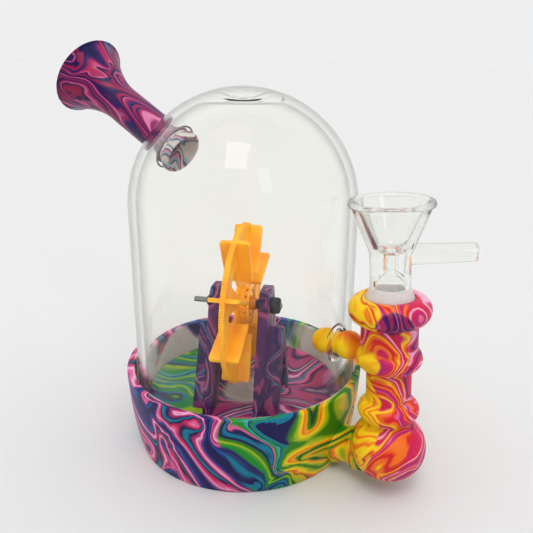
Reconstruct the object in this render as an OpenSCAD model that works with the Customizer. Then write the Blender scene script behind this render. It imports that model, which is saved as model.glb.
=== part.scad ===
// Water pipe with a glass dome, a marbled silicone cup and stem, and a paddle wheel that
// spins on a steel axle inside the dome. Millimetres. The origin is the centre of the cup's
// underside, +Z is up and +X points from the dome's axis to the stem.

/* [Cup] */
// Height of the cup
cup_h = 28.6; // [26:0.2:32]
// Outer radius of the cup at its rim
cup_rim_r = 41.2; // [40.8:0.1:43]
// Outer radius of the cup at its foot
cup_foot_r = 37.4; // [36:0.1:39]
// Width of the flat top of the rim
rim_w = 2.5; // [2:0.1:2.6]
// Height of the ledge that the dome stands on
seat_z = 11; // [10:0.1:12]

/* [Dome] */
// Outer radius of the glass dome
dome_r = 37.5; // [37:0.1:37.8]
// Height where the straight glass wall turns into the round crown
dome_z = 85.1; // [82:0.1:90]
// Thickness of the glass wall
glass_t = 2.5; // [2:0.1:2.6]
// Thickness of the glass in the middle of the crown
crown_t = 6; // [3:0.1:7]

/* [Water wheel] */
// Angle of the axle from the direction of the stem
stand_yaw = 23.5; // [0:0.5:40]
// Height of the axle
axle_z = 50.2; // [49:0.1:52]
// Radius of the axle
axle_r = 1; // [0.8:0.05:1.2]
// Outer radius of the wheel
wheel_r = 27.6; // [24:0.1:28]
// Width of a paddle along the axle
paddle_w = 10; // [8:0.1:11]
// Number of paddles
paddle_n = 8; // [8]
// Angle of the first paddle above the level
paddle_phase = 22; // [0:1:44]

/* [Stem] */
// Distance of the stem's round foot from the dome's axis
stem_x = 56.7; // [56:0.1:60]
// Height of the middle of the stem's round foot
stem_z = 15.1; // [14:0.1:18]
// Lean of the stem towards the dome
stem_lean = 3.4; // [2:0.1:4]
// Radius of the stem's round foot
foot_ball_r = 11.85; // [11:0.05:12.5]
// Radius of the ground joint at its wide end
joint_r = 7.3; // [7.2:0.05:7.4]

/* [Mouthpiece] */
// Rise of the mouthpiece above the level
mouth_rise = 28; // [24:0.5:34]
// Radius of the mouthpiece's tube
tube_r = 6.5; // [6.3:0.1:7]
// Outer radius of the bell
bell_r = 14.3; // [12:0.1:15]
// Distance of the bell's rim from the middle of the dome's crown
bell_u = 81.4; // [76:0.1:84]

/* [Hidden] */
$fn = 96;
paddle_names = [for (i = [1:paddle_n]) str("paddle_", i)];

// Cup
foot_round = 0.8;
cup_bulge = 0.8;
cup_steps = 14;
rim_round = 0.5;
seat_gap = 0.4;
seat_r = dome_r + seat_gap;
recess_z = 9;
insert_gap = 0.3;
insert_r = dome_r - glass_t - insert_gap;
groove_in = 26;
groove_out = 31;
groove_d = 1.5;

// Dished floor
floor_z = 14.5;
floor_flat_r = 22;
floor_lip_z = 18.7;
floor_steps = 10;

// Posts, in the stand's own frame: x along the axle, y across it
wheel_s = -0.7;
post_in = 7;
post_plate = 3.3;
post_rib = 4.6;
post_top = 56.5;
post_head = 5.5;
post_foot = 16.5;
rib_top = 42.5;
rib_head = 1.6;
rib_foot = 13;
arch_top = 33;
arch_foot = 11;
arch_round = 1.5;
post_round = 2.5;
foot_pad_h = 2.2;
pocket_h = 8;

// Axle and its fittings
axle_left = -18;
axle_right = 13.6;
axle_flat = 0.35;
axle_flat_len = 5;
nut_left_r = 2.2;
nut_left_t = 2.2;
nut_right_r = 2.9;
nut_right_t = 3.2;
nut_notches = 6;
nut_notch_r = 0.9;
nut_collar_t = 0.8;
washer_r = 1.95;
axle_fit = 0.02;
spin_gap = 0.05;
end_gap = 0.15;

// Wheel
rim_ring_w = 2;
rim_ring_t = 1.7;
web_t = 1;
teeth = 160;
tooth_h = 0.35;
hub_r = 2.1;
hub_right = 4.3;
drum_r = 6.2;
drum_right = 2.8;
drum_wall = 1.3;
drum_floor_t = 1;
drum_grooves = 16;
drum_groove_r = 0.45;
drum_groove_from = 0.6;
disc_hole_r = drum_r - 1.2;
boss_r = 4.4;
boss_t = 1.2;
window_in = 10;
window_out = 20;
window_half = 9;
paddle_in = 10.4;
paddle_t = 1.5;
paddle_taper = 0.4;
slot_gap = 0.03;
paddle_round = 1;
paddle_short = 0.6;

// Stem, along its own leaning axis from the middle of the round foot
foot_ball_round = 10.2;
low_ring_w = 13.2;
low_ring_r = 9.45;
low_ring_round = 3.4;
low_tube_r = 6.9;
mid_ring_w = 30.6;
mid_ring_r = 10;
mid_ring_round = 3.5;
top_tube_r = 8.6;
collar_w = 46.2;
collar_r = 12.35;
collar_round = 4.1;
joint_top_w = 49.7;
joint_len = 17;
joint_taper = 0.05;
socket_gap = 0.06;
socket_floor = 0.6;
stem_bore_r = 3.6;
stem_bore_end = 27.6;
arm_r = 5.3;
arm_cup_z = 8;
arm_stem_z = 12.4;
arm_root_x = 33;

// Inlet plug through the dome's side
port_x = dome_r - glass_t / 2;
port_z = 45.3;
port_hole_r = 3.7;
lip_round = 1.45;
plug_waist_r = 3.55;
plug_in_r = 4.2;
plug_in_x = 32.1;
plug_out_r = 4.6;
plug_out_x = 41.1;
plug_neck_r = 2.3;
plug_bore_r = 1.3;
plug_root_r = 4.4;
plug_root_len = 10;
plug_root_in = 4;
plug_root_thin = 0.4;

// Mouthpiece, along its own axis from the middle of the crown
mouth_hole_r = 6.4;
mouth_fit = 0.05;
flange_r = 8.1;
flange_u = 38;
flange_t = 1.5;
horn_u = flange_u + flange_t;
bell_start = 62;
bell_power = 1.8;
bell_steps = 14;
bell_lip = 0.7;
root_swell = 0.3;
root_swell_len = 3;
grommet_r = 8.2;
grommet_in = 29.8;
grommet_out = 33.6;
grommet_round = 2.2;
horn_bore_r = 4.2;
bell_wall = 1.9;

// Bowl, along the stem's axis
neck_low_w = 53.1;
neck_top_w = 59.1;
neck_r = 5.95;
tube_bore_r = 4.4;
funnel_root_r = 6.25;
funnel_root_w = 63.6;
funnel_top_w = 77.8;
funnel_top_r = 11.9;
funnel_in_w = 64.5;
funnel_in_r = 3.85;
funnel_mouth_r = 10.6;
bead_r = 1.05;
bead_out = 0.55;
bowl_wall_top = 0.7;
bowl_hole_r = 1.5;
lump_w = 56.1;
handle_w = 62.7;
handle_yaw = 34;
handle_root_r = 3.05;
handle_r = 2.75;
handle_len = 24.8;
handle_round = 0.7;

// Places
module on_stand() rotate([0, 0, stand_yaw]) children();
module on_axle() on_stand() translate([0, 0, axle_z]) rotate([0, 90, 0]) children();
module on_stem() translate([stem_x, 0, stem_z]) rotate([0, -stem_lean, 0]) children();
module on_mouth() translate([0, 0, dome_z]) rotate([0, mouth_rise - 90, 0]) children();
module on_plug() translate([port_x, 0, port_z]) rotate([0, 90 - stem_lean, 0]) children();

// Cup outline, a straight flare with a slight belly
function cup_side(k) = let (z = foot_round + (cup_h - rim_round - foot_round) * k)
    [cup_foot_r + (cup_rim_r - cup_foot_r) * k + cup_bulge * 4 * k * (1 - k), z];
function corner(c, r, from, to, n) = [for (i = [0:n]) let (a = from + (to - from) * i / n)
    [c[0] + r * cos(a), c[1] + r * sin(a)]];
cup_outline = concat([[0, 0]],
    corner([cup_foot_r - foot_round, foot_round], foot_round, -90, -8, 6),
    [for (i = [1:cup_steps]) cup_side(i / cup_steps)],
    corner([cup_rim_r - rim_round, cup_h - rim_round], rim_round, 12, 90, 4),
    [[0, cup_h]]);

module cup_solid() rotate_extrude() polygon(cup_outline);

module base_cup() color("mediumorchid") difference() {
    cup_solid();
    translate([0, 0, seat_z]) cylinder(h = cup_h - seat_z + 1, r1 = seat_r,
        r2 = cup_rim_r - rim_w + 0.05);
    translate([0, 0, recess_z]) cylinder(h = cup_h, r = insert_r + 0.05);
    difference() {
        translate([0, 0, -1]) cylinder(h = groove_d + 1, r = groove_out);
        translate([0, 0, -2]) cylinder(h = groove_d + 3, r = groove_in);
    }
}

function dish(k) = [floor_flat_r + (insert_r - 1 - floor_flat_r) * k,
    floor_z + (floor_lip_z - floor_z) * k * k];

module floor_insert() color("mediumseagreen") difference() {
    rotate_extrude() polygon(concat(
        [[0, recess_z], [insert_r, recess_z], [insert_r, floor_lip_z]],
        [for (i = [floor_steps:-1:0]) dish(i / floor_steps)], [[0, floor_z]]));
    on_stand() for (side = [-1, 1]) post_feet(side);
}

// Feet of a post, which stand in pockets in the floor
module post_feet(side) intersection() {
    post_solid(side);
    translate([-insert_r, -insert_r, floor_z - foot_pad_h])
        cube([2 * insert_r, 2 * insert_r, pocket_h]);
}

// One side view of a post, drawn across the axle
module post_outline() difference() {
    polygon(concat([[-post_foot, floor_z - foot_pad_h], [post_foot, floor_z - foot_pad_h],
        [post_foot, floor_z + 1]],
        corner([post_head - post_round, post_top - post_round], post_round, 15, 90, 6),
        corner([post_round - post_head, post_top - post_round], post_round, 90, 165, 6),
        [[-post_foot, floor_z + 1]]));
    arch();
}

module rib_outline() difference() {
    polygon([[-rib_foot, floor_z - foot_pad_h], [rib_foot, floor_z - foot_pad_h],
        [rib_head, rib_top], [-rib_head, rib_top]]);
    arch();
}

// Triangular gap between the legs, with a round top
module arch() polygon(concat([[arch_foot, floor_z - foot_pad_h - 1]],
    corner([0, arch_top - arch_round], arch_round, 30, 150, 6),
    [[-arch_foot, floor_z - foot_pad_h - 1]]));

// Upright slab across the axle between two places along it
module slab(from, to) translate([from, 0, 0]) rotate([90, 0, 90])
    linear_extrude(height = to - from) children();

module post_solid(side) translate([wheel_s, 0, 0]) mirror([side < 0 ? 1 : 0, 0, 0]) {
    slab(post_in, post_in + post_plate) post_outline();
    slab(post_in + post_plate - 0.01, post_in + post_plate + post_rib) rib_outline();
}

module post(side) color("darkorchid") on_stand() difference() {
    post_solid(side);
    translate([axle_left, 0, axle_z]) rotate([0, 90, 0])
        cylinder(h = axle_right - axle_left, r = axle_r + axle_fit);
}
module post_left() post(-1);
module post_right() post(1);

module base_arm() color("yellowgreen") difference() {
    translate([arm_root_x, 0, arm_cup_z])
        rotate([0, 90 - atan2(arm_stem_z - arm_cup_z, stem_x - arm_root_x), 0])
        cylinder(h = norm([stem_x - arm_root_x, arm_stem_z - arm_cup_z]), r = arm_r);
    cup_solid();
    on_stem() foot_ball();
}

// Round foot, a ball that is wider than it is high
module foot_ball() rotate_extrude() {
    intersection() {
        translate([foot_ball_r - foot_ball_round, 0]) circle(r = foot_ball_round);
        translate([0, -foot_ball_round]) square([foot_ball_r, 2 * foot_ball_round]);
    }
    translate([0, -foot_ball_round])
        square([foot_ball_r - foot_ball_round, 2 * foot_ball_round]);
}

module bead(r, round_r) rotate_extrude() translate([r - round_r, 0]) circle(r = round_r);

module stem_solid() {
    foot_ball();
    cylinder(h = mid_ring_w, r = low_tube_r);
    translate([0, 0, low_ring_w]) bead(low_ring_r, low_ring_round);
    translate([0, 0, mid_ring_w]) bead(mid_ring_r, mid_ring_round);
    translate([0, 0, mid_ring_w]) cylinder(h = collar_w - mid_ring_w, r = top_tube_r);
    translate([0, 0, collar_w]) bead(collar_r, collar_round);
    translate([0, 0, collar_w]) cylinder(h = collar_round, r = collar_r - collar_round);
}

module joint_cone(gap, extra) translate([0, 0, joint_top_w - joint_len - extra]) cylinder(
    h = joint_len + extra, r1 = joint_r - joint_taper * (joint_len + extra) + gap,
    r2 = joint_r + gap);

module stem() color("coral") difference() {
    on_stem() difference() {
        stem_solid();
        joint_cone(socket_gap, socket_floor);
        translate([0, 0, joint_top_w - 0.01]) cylinder(h = collar_round, r = joint_r + socket_gap);
        translate([0, 0, stem_bore_end]) cylinder(h = joint_top_w - stem_bore_end - 10,
            r = stem_bore_r);
    }
    on_plug() cylinder(h = stem_x - port_x, r = plug_bore_r);
}

module inlet_plug() color("gold") difference() {
    on_plug() difference() {
        union() {
            translate([0, 0, plug_in_x - port_x]) sphere(r = plug_in_r);
            translate([0, 0, plug_out_x - port_x]) sphere(r = plug_out_r);
            translate([0, 0, plug_in_x - port_x]) cylinder(h = plug_out_x - plug_in_x,
                r = plug_waist_r);
            cylinder(h = stem_x - port_x - plug_root_in, r = plug_neck_r);
            translate([0, 0, stem_x - port_x - plug_root_in - plug_root_len])
                cylinder(h = plug_root_len, r1 = plug_neck_r - plug_root_thin, r2 = plug_root_r);
        }
        translate([0, 0, -port_x / 2]) cylinder(h = stem_x, r = plug_bore_r);
    }
    on_stem() stem_solid();
}

// Inside of the crown: an even wall that grows to a thick lens in the middle
lens_r = 13.5;
lens_edge = asin(lens_r / (dome_r - glass_t));
lens_drop = (dome_r - glass_t) * cos(lens_edge) - (dome_r - crown_t);
lens_sag_r = (lens_r * lens_r + lens_drop * lens_drop) / (2 * lens_drop);
lens_turn = asin(lens_r / lens_sag_r);
dome_outline = concat([[dome_r - glass_t, seat_z + 0.02], [dome_r, seat_z + 0.02]],
    corner([0, dome_z], dome_r, 0, 90, 24),
    corner([0, dome_z + dome_r - crown_t + lens_sag_r], lens_sag_r, -90, lens_turn - 90, 6),
    corner([0, dome_z], dome_r - glass_t, 90 - lens_edge, 0, 18));

module dome() color("lightcyan", 0.35) difference() {
    union() {
        rotate_extrude() polygon(dome_outline);
        on_plug() bead(port_hole_r + 2 * lip_round, lip_round);
        on_mouth() translate([0, 0, port_x]) bead(mouth_hole_r + 2 * lip_round, lip_round);
    }
    on_plug() translate([0, 0, -port_hole_r]) cylinder(h = 2 * port_hole_r, r = port_hole_r);
    on_mouth() translate([0, 0, port_x - mouth_hole_r])
        cylinder(h = 2 * mouth_hole_r, r = mouth_hole_r);
}

module axle() color("gray") on_axle() difference() {
    translate([0, 0, axle_left]) cylinder(h = axle_right - axle_left, r = axle_r);
    translate([axle_r - axle_flat, -2, axle_left - 1]) cube([2, 4, axle_flat_len + 1]);
}

module ring(from, to, outer, inner) translate([0, 0, from]) difference() {
    cylinder(h = to - from, r = outer);
    translate([0, 0, -1]) cylinder(h = to - from + 2, r = inner);
}

post_out_left = wheel_s - post_in - post_plate;
post_out_right = wheel_s + post_in + post_plate;

module nut_left() color("black") on_axle()
    ring(post_out_left - nut_left_t, post_out_left, nut_left_r, axle_r);

module nut_right() color("black") on_axle() difference() {
    ring(post_out_right, post_out_right + nut_right_t, nut_right_r, axle_r);
    for (i = [0:nut_notches - 1]) rotate([0, 0, i * 360 / nut_notches])
        translate([nut_right_r + nut_notch_r / 2, 0, post_out_right + nut_collar_t])
        cylinder(h = nut_right_t, r = nut_notch_r);
}

module washer_right() color("black") on_axle()
    ring(hub_right + end_gap, wheel_s + post_in, washer_r, axle_r);

module spacer_left() color("dimgray") on_axle()
    ring(wheel_s - post_in, wheel_s - rim_ring_t / 2 - boss_t - end_gap, washer_r, axle_r);

// Toothed rim: each tooth is a small round-shouldered step of the outline
module tooth_outline() polygon([for (i = [0:2 * teeth - 1])
    let (a = i * 180 / teeth, r = wheel_r - (i % 2) * tooth_h) [r * cos(a), r * sin(a)]]);

module sector(r_in, r_out, half) intersection() {
    difference() {
        circle(r = r_out);
        circle(r = r_in);
    }
    polygon([[0, 0], [2 * r_out * cos(half), -2 * r_out * sin(half)],
        [2 * r_out * cos(half), 2 * r_out * sin(half)]]);
}

// Turns a shape drawn along +X of the disc to the place of paddle i
function paddle_angle(i) = 90 + paddle_phase + i * 360 / paddle_n;

module wheel_disc() color("orange") on_axle() translate([0, 0, wheel_s]) difference() {
    union() {
        translate([0, 0, -rim_ring_t / 2]) linear_extrude(height = rim_ring_t) difference() {
            tooth_outline();
            circle(r = wheel_r - rim_ring_w);
        }
        translate([0, 0, -web_t / 2]) cylinder(h = web_t, r = wheel_r - rim_ring_w + 0.05);
    }
    translate([0, 0, -rim_ring_t]) cylinder(h = 2 * rim_ring_t, r = disc_hole_r);
    for (i = [0:paddle_n - 1]) rotate([0, 0, paddle_angle(i)]) {
        translate([paddle_in - 0.05, -paddle_t / 2 - slot_gap, -rim_ring_t])
            cube([wheel_r, paddle_t + 2 * slot_gap, 2 * rim_ring_t]);
        rotate([0, 0, 180 / paddle_n]) translate([0, 0, -rim_ring_t])
            linear_extrude(height = 2 * rim_ring_t) sector(window_in, window_out, window_half);
    }
}

module wheel_hub() color("darkorange") on_axle() difference() {
    union() {
        translate([0, 0, wheel_s]) cylinder(h = hub_right - wheel_s, r = hub_r);
        translate([0, 0, wheel_s + web_t / 2]) cylinder(h = drum_right - wheel_s - web_t / 2,
            r = drum_r);
        translate([0, 0, wheel_s - web_t / 2]) cylinder(h = web_t + 0.01, r = disc_hole_r);
        translate([0, 0, wheel_s - rim_ring_t / 2 - boss_t])
            cylinder(h = boss_t + rim_ring_t / 2, r = boss_r);
    }
    translate([0, 0, -wheel_r]) cylinder(h = 2 * wheel_r, r = axle_r + spin_gap);
    for (i = [0:drum_grooves - 1]) rotate([0, 0, i * 360 / drum_grooves])
        translate([drum_r, 0, wheel_s + web_t / 2 + drum_groove_from])
        cylinder(h = drum_r, r = drum_groove_r);
    translate([0, 0, wheel_s + web_t / 2 + drum_floor_t])
        ring(0, drum_r, drum_r - drum_wall, hub_r);
}

// A paddle, drawn lengthwise along +X and standing across the disc, notched for its rim
module paddle_outline() difference() {
    polygon(concat([[paddle_in, paddle_taper - paddle_w / 2]],
        corner([wheel_r - paddle_short - paddle_round, paddle_round - paddle_w / 2], paddle_round,
            -90, 0, 4),
        corner([wheel_r - paddle_short - paddle_round, paddle_w / 2 - paddle_round], paddle_round,
            0, 90, 4),
        [[paddle_in, paddle_w / 2 - paddle_taper]]));
    translate([wheel_r - rim_ring_w - 0.1, -rim_ring_t / 2 - slot_gap])
        square([wheel_r, rim_ring_t + 2 * slot_gap]);
}

module paddle(i) color("orange") on_axle() translate([0, 0, wheel_s])
    rotate([0, 0, paddle_angle(i)]) rotate([90, 0, 0])
    translate([0, 0, -paddle_t / 2]) linear_extrude(height = paddle_t) paddle_outline();

// Bell of the mouthpiece, outside and inside
function bell(u) = tube_r + (bell_r - tube_r) * pow(max(0, (u - bell_start)
    / (bell_u - bell_start)), bell_power);
function bell_at(k) = bell_start + (bell_u - bell_lip - bell_start) * k;

module mouthpiece_horn() color("mediumvioletred") on_mouth() rotate_extrude() polygon(concat(
    [[horn_bore_r, horn_u], [tube_r + root_swell, horn_u], [tube_r, horn_u + root_swell_len]],
    [for (i = [0:bell_steps]) let (u = bell_at(i / bell_steps)) [bell(u), u]],
    corner([bell_r - bell_lip, bell_u - bell_lip], bell_lip, 20, 150, 5),
    [for (i = [bell_steps:-1:0]) let (u = bell_at(i / bell_steps))
        [max(horn_bore_r, bell(u) - bell_wall), u]],
    [[horn_bore_r, bell_start - 4]]));

module mouthpiece_grommet() color("purple") on_mouth() difference() {
    union() {
        translate([0, 0, flange_u]) cylinder(h = flange_t, r = flange_r);
        translate([0, 0, grommet_out - 1]) cylinder(h = flange_u - grommet_out + 1.01,
            r = mouth_hole_r - mouth_fit);
        translate([0, 0, grommet_in + grommet_round]) cylinder(h = grommet_out - grommet_in
            - grommet_round, r = grommet_r);
        translate([0, 0, grommet_in]) cylinder(h = grommet_out - grommet_in,
            r = grommet_r - grommet_round);
        translate([0, 0, grommet_in + grommet_round]) bead(grommet_r, grommet_round);
    }
    translate([0, 0, grommet_in - 1]) cylinder(h = horn_u, r = horn_bore_r);
}

module bowl_funnel() color("azure", 0.4) on_stem() difference() {
    union() {
        translate([0, 0, neck_top_w]) cylinder(h = funnel_root_w - neck_top_w,
            r1 = neck_r, r2 = funnel_root_r);
        translate([0, 0, funnel_root_w]) cylinder(h = funnel_top_w - funnel_root_w,
            r1 = funnel_root_r, r2 = funnel_top_r);
        translate([0, 0, funnel_top_w]) bead(funnel_top_r + bead_out, bead_r);
    }
    translate([0, 0, funnel_in_w]) cylinder(h = funnel_top_w + bead_r - funnel_in_w,
        r1 = funnel_in_r, r2 = funnel_mouth_r + bowl_wall_top);
    translate([0, 0, neck_top_w - 1]) cylinder(h = 10, r = bowl_hole_r);
}

module bowl_neck() color("azure", 0.4) on_stem() difference() {
    translate([0, 0, neck_low_w]) cylinder(h = neck_top_w - neck_low_w, r = neck_r);
    translate([0, 0, neck_low_w - 1]) cylinder(h = lump_w - neck_low_w + 1, r = tube_bore_r);
    translate([0, 0, neck_low_w]) cylinder(h = 10, r = bowl_hole_r);
}

module bowl_joint() color("whitesmoke", 0.8) on_stem() difference() {
    union() {
        joint_cone(0, 0);
        translate([0, 0, joint_top_w]) cylinder(h = neck_low_w - joint_top_w, r1 = joint_r,
            r2 = neck_r);
    }
    translate([0, 0, joint_top_w - joint_len - 1]) cylinder(h = joint_len + 10, r = tube_bore_r);
}

module bowl_handle() color("azure", 0.4) on_stem() difference() {
    translate([0, 0, handle_w]) rotate([0, 0, handle_yaw]) rotate([0, 90, 0]) {
        cylinder(h = handle_len - handle_round, r1 = handle_root_r, r2 = handle_r);
        translate([0, 0, handle_len - handle_round]) cylinder(h = handle_round,
            r1 = handle_r, r2 = handle_r - handle_round);
    }
    translate([0, 0, neck_top_w - 4]) cylinder(h = funnel_root_w - neck_top_w + 4,
        r1 = neck_r, r2 = funnel_root_r);
    translate([0, 0, funnel_root_w - 0.01]) cylinder(h = funnel_top_w - funnel_root_w,
        r1 = funnel_root_r, r2 = funnel_top_r);
}

base_cup();
floor_insert();
post_left();
post_right();
base_arm();
stem();
inlet_plug();
dome();
axle();
nut_left();
nut_right();
washer_right();
spacer_left();
wheel_disc();
wheel_hub();
for (i = [0:paddle_n - 1]) paddle(i);
mouthpiece_horn();
mouthpiece_grommet();
bowl_funnel();
bowl_neck();
bowl_joint();
bowl_handle();
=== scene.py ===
import math

import bmesh
import bpy
from mathutils import Matrix, Vector


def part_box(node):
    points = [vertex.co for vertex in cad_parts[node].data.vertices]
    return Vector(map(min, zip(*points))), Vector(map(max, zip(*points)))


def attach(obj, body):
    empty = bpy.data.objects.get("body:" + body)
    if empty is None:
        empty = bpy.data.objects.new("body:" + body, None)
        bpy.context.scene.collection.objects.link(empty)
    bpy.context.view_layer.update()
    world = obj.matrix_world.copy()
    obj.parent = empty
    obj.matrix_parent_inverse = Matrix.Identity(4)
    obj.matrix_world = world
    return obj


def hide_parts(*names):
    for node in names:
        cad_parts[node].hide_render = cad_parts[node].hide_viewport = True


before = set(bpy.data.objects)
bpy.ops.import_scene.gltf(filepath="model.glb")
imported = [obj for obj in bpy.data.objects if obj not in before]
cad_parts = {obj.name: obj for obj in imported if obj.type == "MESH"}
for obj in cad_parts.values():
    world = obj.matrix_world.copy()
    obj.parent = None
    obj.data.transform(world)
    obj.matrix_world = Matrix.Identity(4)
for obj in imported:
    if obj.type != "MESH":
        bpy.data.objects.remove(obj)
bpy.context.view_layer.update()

MM = 0.001
TAU = 2 * math.pi

# Places, as the CAD has them. Millimetres.
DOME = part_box("dome")
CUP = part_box("base_cup")
CUP_H = CUP[1][2] / MM
RIM_R = CUP[1][1] / MM
DOME_R = DOME[1][1] / MM
STAND_YAW = math.radians(23.5)
AXLE_Z = 50.2
WHEEL_S = -0.7
STEM_LEAN = math.radians(3.4)
STEM_X, STEM_Z = 56.7, 15.1
MOUTH_RISE = math.radians(28)
CROWN_Z = 85.1
PORT_X, PORT_Z = 36.25, 45.3


def place(origin, x_axis, y_axis, z_axis):
    m = Matrix.Identity(4)
    for col, axis in enumerate((x_axis, y_axis, z_axis)):
        for row in range(3):
            m[row][col] = axis[row]
    for row in range(3):
        m[row][3] = origin[row]
    return m


UPRIGHT = Matrix.Identity(4)
# Turns a drawing's x and y into y and z, and its height into x
SIDEWAYS = Matrix(((0, 0, 1, 0), (1, 0, 0, 0), (0, 1, 0, 0), (0, 0, 0, 1)))
ON_STAND = Matrix.Rotation(STAND_YAW, 4, "Z")
ON_AXLE = ON_STAND @ Matrix.Translation((0, 0, AXLE_Z)) @ Matrix.Rotation(math.pi / 2, 4, "Y")
ON_STEM = Matrix.Translation((STEM_X, 0, STEM_Z)) @ Matrix.Rotation(-STEM_LEAN, 4, "Y")
ON_MOUTH = Matrix.Translation((0, 0, CROWN_Z)) @ Matrix.Rotation(MOUTH_RISE - math.pi / 2, 4, "Y")
ON_PLUG = Matrix.Translation((PORT_X, 0, PORT_Z)) @ Matrix.Rotation(math.pi / 2 - STEM_LEAN, 4, "Y")


# ---------------------------------------------------------------- meshes

def make(name, verts, faces, matrix=UPRIGHT, sharp=40):
    """A mesh object from vertices in millimetres, put in place in metres, with smooth faces."""
    mesh = bpy.data.meshes.new(name)
    mesh.from_pydata([(matrix @ Vector(v)) * MM for v in verts], [], faces)
    bm = bmesh.new()
    bm.from_mesh(mesh)
    bmesh.ops.remove_doubles(bm, verts=bm.verts, dist=1e-7)
    bmesh.ops.recalc_face_normals(bm, faces=bm.faces)
    bm.to_mesh(mesh)
    bm.free()
    obj = bpy.data.objects.new(name, mesh)
    bpy.context.scene.collection.objects.link(obj)
    smooth(obj, sharp)
    return obj


def smooth(obj, sharp=40):
    obj.data.polygons.foreach_set("use_smooth", [True] * len(obj.data.polygons))
    obj.data.set_sharp_from_angle(angle=math.radians(sharp))
    obj.data.update()


def lathe_data(profile, segs=128):
    """Vertices and faces of a profile of (radius, height) turned about Z.

    The profile has both ends on the axis, or it is a closed ring."""
    solid = profile[0][0] < 1e-6 and profile[-1][0] < 1e-6
    verts, rows = [], []
    for r, z in profile:
        if r < 1e-6:
            rows.append([len(verts)] * segs)
            verts.append((0, 0, z))
        else:
            rows.append(list(range(len(verts), len(verts) + segs)))
            verts += [(r * math.cos(TAU * i / segs), r * math.sin(TAU * i / segs), z) for i in range(segs)]
    faces = []
    pairs = list(zip(rows, rows[1:])) + ([] if solid else [(rows[-1], rows[0])])
    for a, b in pairs:
        for i in range(segs):
            j = (i + 1) % segs
            loop = []
            for v in (a[i], a[j], b[j], b[i]):
                if v not in loop:
                    loop.append(v)
            if len(loop) > 2:
                faces.append(loop)
    return verts, faces


def lathe(name, profile, matrix=UPRIGHT, segs=128, sharp=40):
    return make(name, *lathe_data(profile, segs), matrix=matrix, sharp=sharp)


def arc(cx, cz, r, start, end, n=8):
    """Points on a circle of a profile, from one angle to another in degrees."""
    return [(cx + r * math.cos(math.radians(start + (end - start) * i / n)),
             cz + r * math.sin(math.radians(start + (end - start) * i / n))) for i in range(n + 1)]


def rounded(points, n=6):
    """A polyline with its corners rounded. Each point is (x, y, radius)."""
    out = []
    count = len(points)
    for i, (x, y, r) in enumerate(points):
        if r <= 0 or i in (0, count - 1):
            out.append((x, y))
            continue
        p = Vector((x, y))
        a = Vector(points[i - 1][:2]) - p
        b = Vector(points[(i + 1) % count][:2]) - p
        turn = a.angle(b)
        cut = min(r / math.tan(turn / 2), a.length * 0.49, b.length * 0.49)
        r = cut * math.tan(turn / 2)
        pa, pb = p + a.normalized() * cut, p + b.normalized() * cut
        centre = p + (a.normalized() + b.normalized()).normalized() * (r / math.sin(turn / 2))
        va, vb = pa - centre, pb - centre
        sweep = va.angle_signed(vb)
        for k in range(n + 1):
            v = va.copy()
            v.rotate(Matrix.Rotation(-sweep * k / n, 2))
            out.append((centre.x + v.x, centre.y + v.y))
    return out


def dense(profile, step=0.6):
    """The profile with its long straight runs split, so that smooth normals stay even."""
    out = [profile[0]]
    for (r0, z0), (r1, z1) in zip(profile, profile[1:]):
        n = max(1, int(math.hypot(r1 - r0, z1 - z0) / step))
        out += [(r0 + (r1 - r0) * k / n, z0 + (z1 - z0) * k / n) for k in range(1, n + 1)]
    return out


def soften(values, passes):
    for _ in range(passes):
        values = [values[0]] + [(values[i - 1] + 2 * values[i] + values[i + 1]) / 4
                                for i in range(1, len(values) - 1)] + [values[-1]]
    return values


def slab(name, outline, low, high, matrix):
    """An outline of (x, y), pulled from one height to another."""
    n = len(outline)
    verts = [(x, y, low) for x, y in outline] + [(x, y, high) for x, y in outline]
    faces = [list(range(n)), list(range(2 * n - 1, n - 1, -1))]
    faces += [[i, (i + 1) % n, n + (i + 1) % n, n + i] for i in range(n)]
    return make(name, verts, faces, matrix)


def combine(obj, other, operation):
    """Boolean of two meshes, kept in the first. The second goes away."""
    mod = obj.modifiers.new("cut", "BOOLEAN")
    mod.operation, mod.solver, mod.object = operation, "EXACT", other
    bake(obj)
    bpy.data.objects.remove(other, do_unlink=True)


def bake(obj):
    """Applies the modifiers of a mesh."""
    deps = bpy.context.evaluated_depsgraph_get()
    deps.update()
    mesh = bpy.data.meshes.new_from_object(obj.evaluated_get(deps))
    old = obj.data
    obj.modifiers.clear()
    obj.data = mesh
    bpy.data.meshes.remove(old)
    mesh.name = obj.name


def bevel(obj, width, segments=3, angle=35):
    mod = obj.modifiers.new("bevel", "BEVEL")
    mod.width, mod.segments = width * MM, segments
    mod.limit_method, mod.angle_limit = "ANGLE", math.radians(angle)
    bake(obj)
    smooth(obj, 50)


def heal(obj, tiny=2e-6):
    """Welds what a boolean leaves behind: doubled points, slivers and pinholes."""
    bm = bmesh.new()
    bm.from_mesh(obj.data)
    bmesh.ops.remove_doubles(bm, verts=bm.verts, dist=tiny)
    bmesh.ops.dissolve_degenerate(bm, edges=bm.edges, dist=tiny)
    bmesh.ops.holes_fill(bm, edges=[e for e in bm.edges if e.is_boundary])
    bm.to_mesh(obj.data)
    bm.free()


def finish_piece(obj, material, body, slot, *nodes):
    heal(obj)
    obj.data.materials.clear()
    obj.data.materials.append(material)
    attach(obj, body)
    if nodes:
        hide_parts(*nodes)
    return obj


# ---------------------------------------------------------------- materials

def linear(rgb):
    def one(c):
        c /= 255
        return c / 12.92 if c <= 0.04045 else ((c + 0.055) / 1.055) ** 2.4
    return (one(rgb[0]), one(rgb[1]), one(rgb[2]), 1)


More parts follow.
